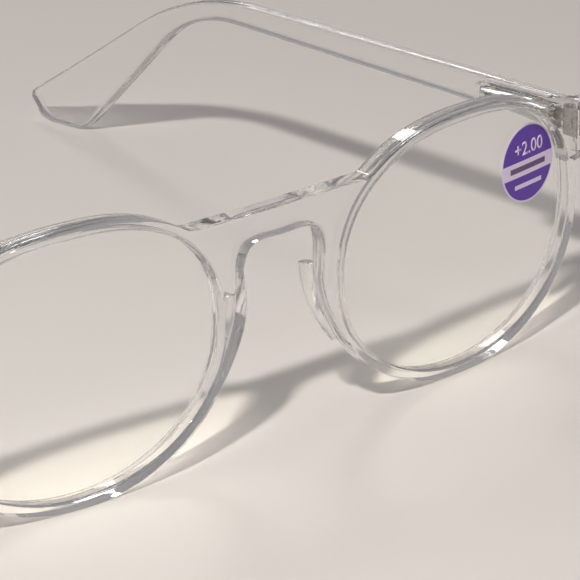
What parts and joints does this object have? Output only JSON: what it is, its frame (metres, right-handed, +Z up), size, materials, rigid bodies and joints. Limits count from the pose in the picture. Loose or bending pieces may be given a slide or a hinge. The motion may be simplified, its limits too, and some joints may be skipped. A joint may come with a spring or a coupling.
{
  "type": "reading glasses",
  "caption": "Clear full-rim glasses with oval lenses, a keyhole bridge, moulded nose pads and bent temples that fold on sprung hinges.",
  "frame": {"origin": "under the middle of the open glasses, on the surface that they stand on", "axes": "+X towards the wearer's left, +Y from the front back along the temples, +Z up"},
  "size_m": [0.14, 0.144, 0.0417],
  "materials": {
    "clear_plastic": "clear moulded polycarbonate, polished",
    "pad_plastic": "clear moulded plastic, polished",
    "lens": "clear lens, polished",
    "sticker": "printed film, violet with a pale edge",
    "hinge_metal": "nickel-plated, satin",
    "screw_metal": "stainless, turned",
    "bush_metal": "turned steel",
    "spring_steel": "drawn spring wire"
  },
  "bodies": {
    "front": {"front_frame": "clear_plastic", "left_lens": "lens", "right_lens": "lens", "lens_sticker": "sticker", "left_nose_pad": "pad_plastic", "right_nose_pad": "pad_plastic", "left_hinge_leaf": "hinge_metal", "right_hinge_leaf": "hinge_metal", "left_hinge_screw": "screw_metal", "right_hinge_screw": "screw_metal"},
    "left_slider": {"left_spring_slider": "hinge_metal", "left_spring_nut": "bush_metal", "left_hinge_spring": "spring_steel"},
    "left_arm": {"left_temple": "clear_plastic", "left_guide_bush": "bush_metal"},
    "right_slider": {"right_spring_slider": "hinge_metal", "right_spring_nut": "bush_metal", "right_hinge_spring": "spring_steel"},
    "right_arm": {"right_temple": "clear_plastic", "right_guide_bush": "bush_metal"}
  },
  "joints": [
    {"name": "left_fold", "type": "hinge", "parent": "front", "child": "left_slider", "pos_m": [0.0664, -0.06105, 0.0315], "axis": [0, 0, 1], "range_deg": [-8, 87]},
    {"name": "left_spring", "type": "slide", "parent": "left_slider", "child": "left_arm", "axis": [-0.0394, 0.9992, 0], "range_m": [0, 0.0012], "stiffness_N_per_m": 3000, "deforming": ["left_hinge_spring"]},
    {"name": "right_fold", "type": "hinge", "parent": "front", "child": "right_slider", "pos_m": [-0.0664, -0.06105, 0.0315], "axis": [0, 0, -1], "range_deg": [-8, 76]},
    {"name": "right_spring", "type": "slide", "parent": "right_slider", "child": "right_arm", "axis": [0.0394, 0.9992, 0], "range_m": [0, 0.0012], "stiffness_N_per_m": 3000, "deforming": ["right_hinge_spring"]}
  ]
}
